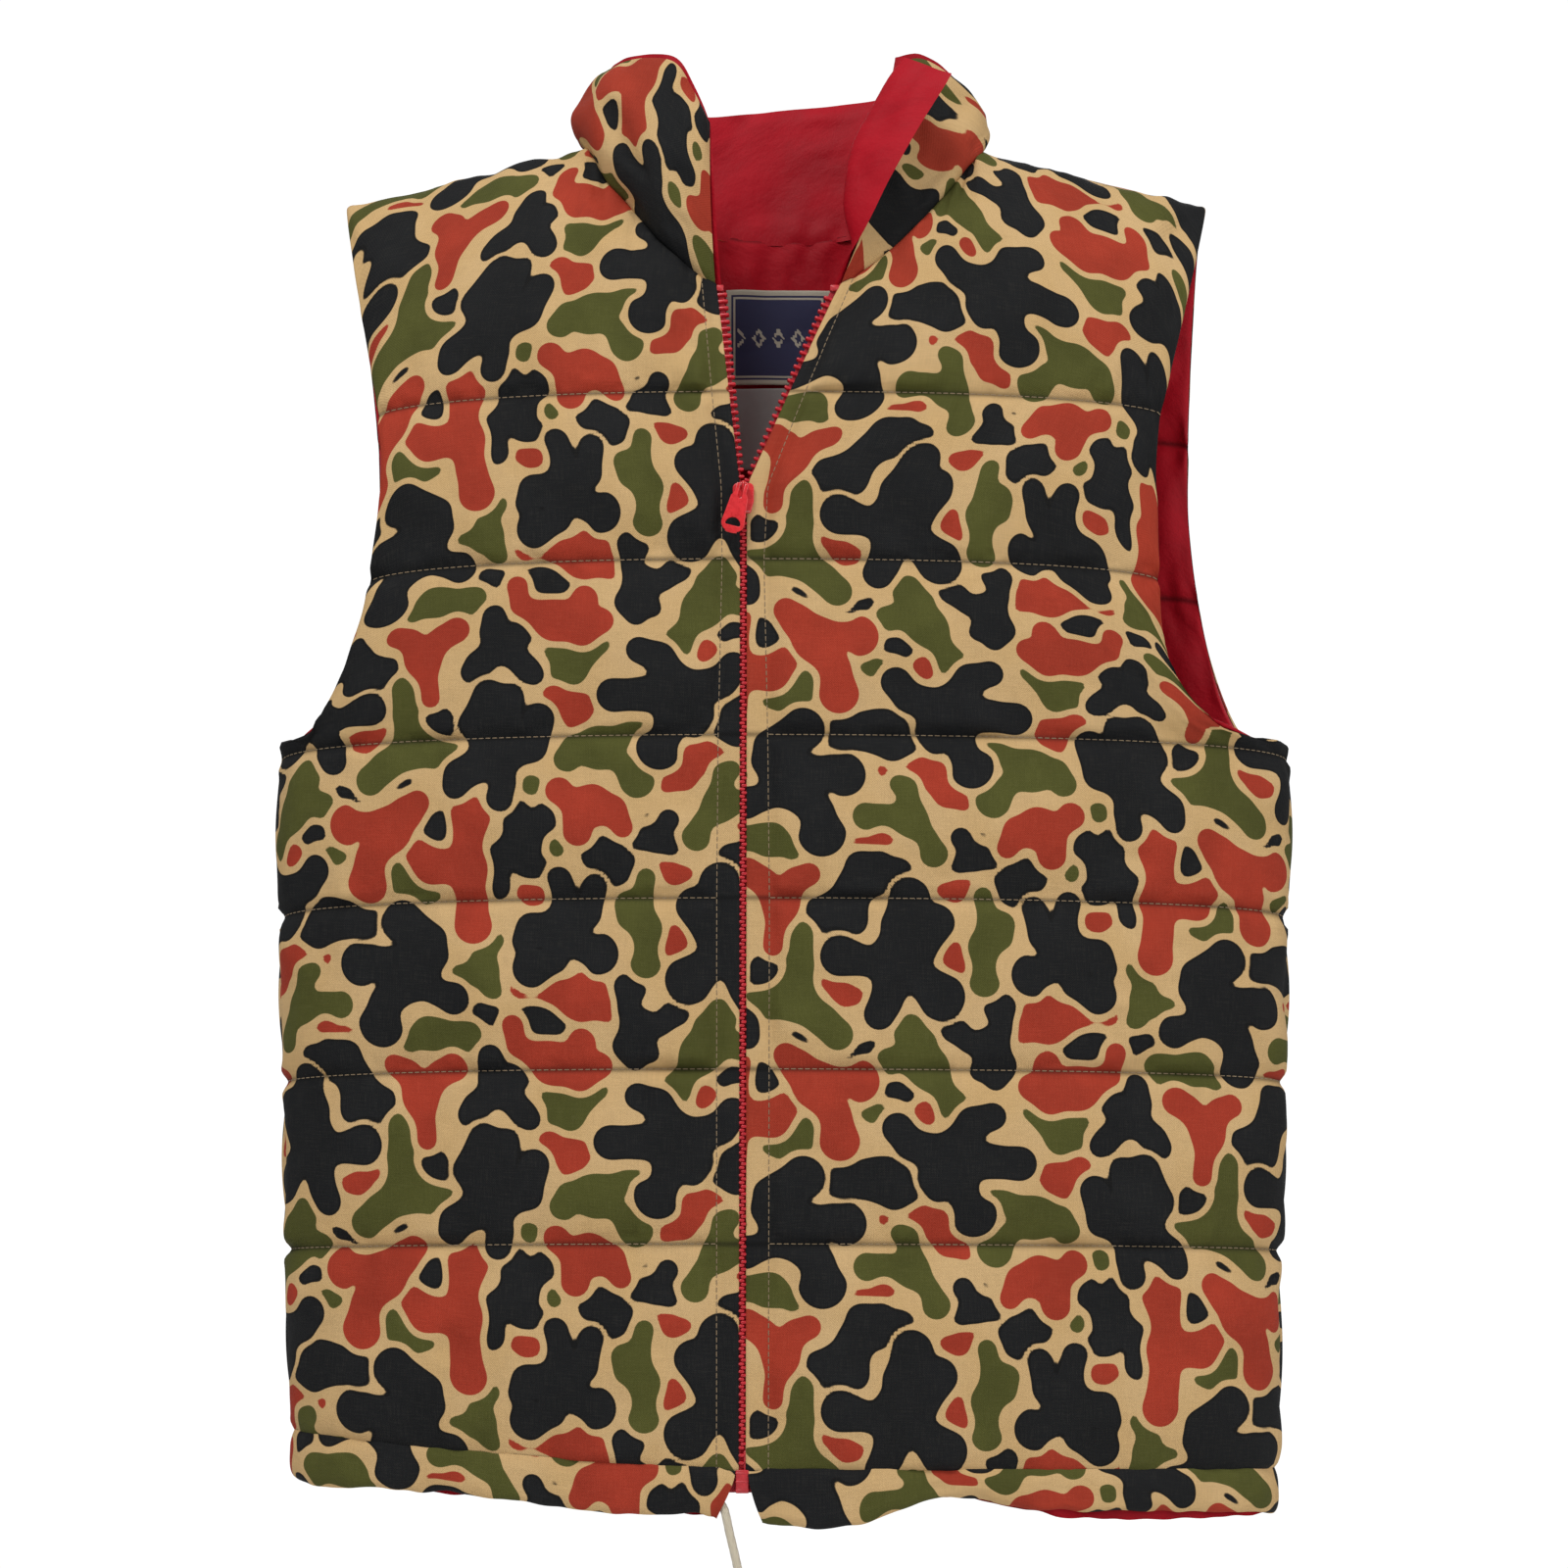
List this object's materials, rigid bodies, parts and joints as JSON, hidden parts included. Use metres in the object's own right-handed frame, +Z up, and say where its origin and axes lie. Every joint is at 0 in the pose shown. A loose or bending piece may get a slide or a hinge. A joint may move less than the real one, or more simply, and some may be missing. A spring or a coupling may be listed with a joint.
{
  "type": "quilted down vest",
  "caption": "Sleeveless quilted down vest with a stand collar, printed shell, plain red lining, front zip with a reversible slider and a hem drawcord.",
  "frame": {"origin": "between the two neck points of the shoulders, where a hanger carries the vest", "axes": "+X to the wearer's left, +Y to the back, +Z up"},
  "size_m": [0.5225, 0.1535, 0.8985],
  "materials": {
    "shell_print": "matt woven cotton-blend poplin printed with lobed patches in black, rust and olive on tan",
    "lining_red": "plain woven red nylon taffeta with a soft sheen",
    "down_fill": "loose white down",
    "zip_teeth": "moulded red acetal",
    "zip_tape": "herringbone woven red tape",
    "slider_enamel": "glossy red enamel, worn at the edges",
    "neck_label_weave": "navy damask weave with a pale border",
    "care_label_weave": "grey satin ribbon",
    "drawcord_braid": "cream braided cotton"
  },
  "bodies": {
    "vest": {"front_right_shell": "shell_print", "front_right_lining": "lining_red", "front_right_down_1": "down_fill", "front_right_down_2": "down_fill", "front_right_down_3": "down_fill", "front_right_down_4": "down_fill", "front_right_down_5": "down_fill", "front_right_down_6": "down_fill", "front_right_down_7": "down_fill", "front_left_shell": "shell_print", "front_left_lining": "lining_red", "front_left_down_1": "down_fill", "front_left_down_2": "down_fill", "front_left_down_3": "down_fill", "front_left_down_4": "down_fill", "front_left_down_5": "down_fill", "front_left_down_6": "down_fill", "front_left_down_7": "down_fill", "back_shell": "shell_print", "back_lining": "lining_red", "back_down_1": "down_fill", "back_down_2": "down_fill", "back_down_3": "down_fill", "back_down_4": "down_fill", "back_down_5": "down_fill", "back_down_6": "down_fill", "back_down_7": "down_fill", "hem_casing_front_right": "shell_print", "hem_casing_front_left": "shell_print", "hem_casing_back": "shell_print", "collar_back_shell": "shell_print", "collar_back_lining": "lining_red", "collar_back_down": "down_fill", "zip_teeth_right": "zip_teeth", "zip_tape_right": "zip_tape", "zip_top_stop_right": "zip_teeth", "zip_teeth_left": "zip_teeth", "zip_tape_left": "zip_tape", "zip_top_stop_left": "zip_teeth", "zip_retainer_box": "zip_teeth", "zip_insertion_pin": "zip_teeth", "neck_label": "neck_label_weave", "care_label": "care_label_weave", "size_label": "care_label_weave", "drawcord_in_casing": "drawcord_braid", "drawcord_tail": "drawcord_braid", "drawcord_end_knot": "drawcord_braid"},
    "slider": {"zip_slider": "slider_enamel", "zip_slider_rail": "slider_enamel"},
    "pull": {"zip_pull": "slider_enamel"},
    "collar_right": {"collar_right_wing_shell": "shell_print", "collar_right_wing_lining": "lining_red", "collar_right_wing_down": "down_fill"},
    "collar_left": {"collar_left_wing_shell": "shell_print", "collar_left_wing_lining": "lining_red", "collar_left_wing_down": "down_fill"}
  },
  "joints": [
    {"name": "zip_travel", "type": "slide", "parent": "vest", "child": "slider", "axis": [0, 0, -1], "range_m": [0, 0.462]},
    {"name": "pull_flip", "type": "hinge", "parent": "slider", "child": "pull", "pos_m": [-0.02, -0.06191, -0.187], "axis": [-1, 0, 0], "range_deg": [0, 100]},
    {"name": "collar_right_fold", "type": "hinge", "parent": "vest", "child": "collar_right", "pos_m": [-0.0624, -0.0381, -0.0407], "axis": [0.5613, -0.2391, -0.7924], "range_deg": [-25, 50]},
    {"name": "collar_left_fold", "type": "hinge", "parent": "vest", "child": "collar_left", "pos_m": [0.0486, -0.0459, -0.0455], "axis": [0.5901, 0.239, 0.7711], "range_deg": [-35, 40]}
  ]
}
